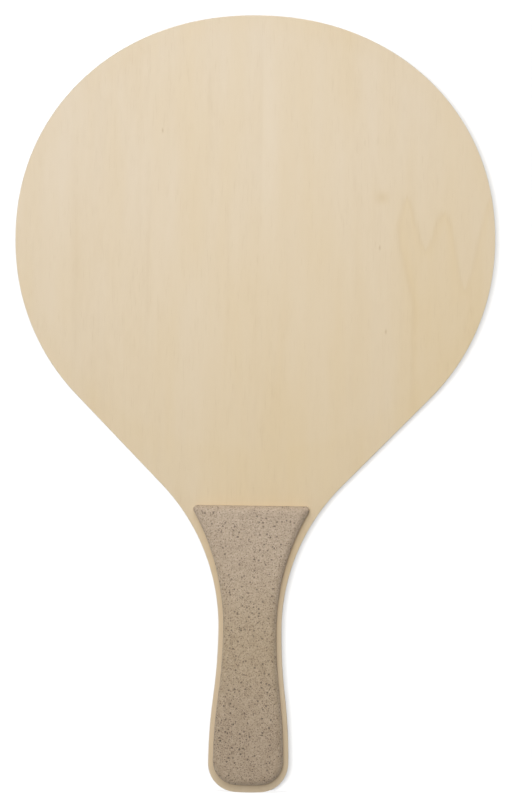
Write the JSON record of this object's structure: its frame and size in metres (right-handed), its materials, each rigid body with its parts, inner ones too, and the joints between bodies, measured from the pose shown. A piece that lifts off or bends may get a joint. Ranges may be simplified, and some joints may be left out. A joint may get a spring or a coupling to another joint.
{
  "type": "beach paddle",
  "caption": "Flat wooden beach paddle: round plywood blade for hitting a ball, flared handle with a moulded grip shell on each face, and a chessboard printed on the rear of the blade.",
  "frame": {"origin": "lowest point of the butt end, on the centre lines of the paddle's width and thickness", "axes": "+Z along the paddle from the butt to the crown of the blade, +Y out of the printed rear face, -Y out of the plain front face, +X to the right for someone looking at the front face"},
  "size_m": [0.2346, 0.0182, 0.38],
  "materials": {
    "face_wood": "pale sanded veneer, satin, grain along the paddle",
    "cross_wood": "end grain of the crossbands, sanded",
    "core_wood": "sanded edge grain",
    "grip_composite": "matt moulded plant-fibre composite with dark specks"
  },
  "bodies": {
    "root": {"front_face_veneer": "face_wood", "front_crossband": "cross_wood", "core_ply": "core_wood", "rear_crossband": "cross_wood", "rear_face_veneer": "face_wood", "front_grip": "grip_composite", "rear_grip": "grip_composite"}
  },
  "joints": []
}
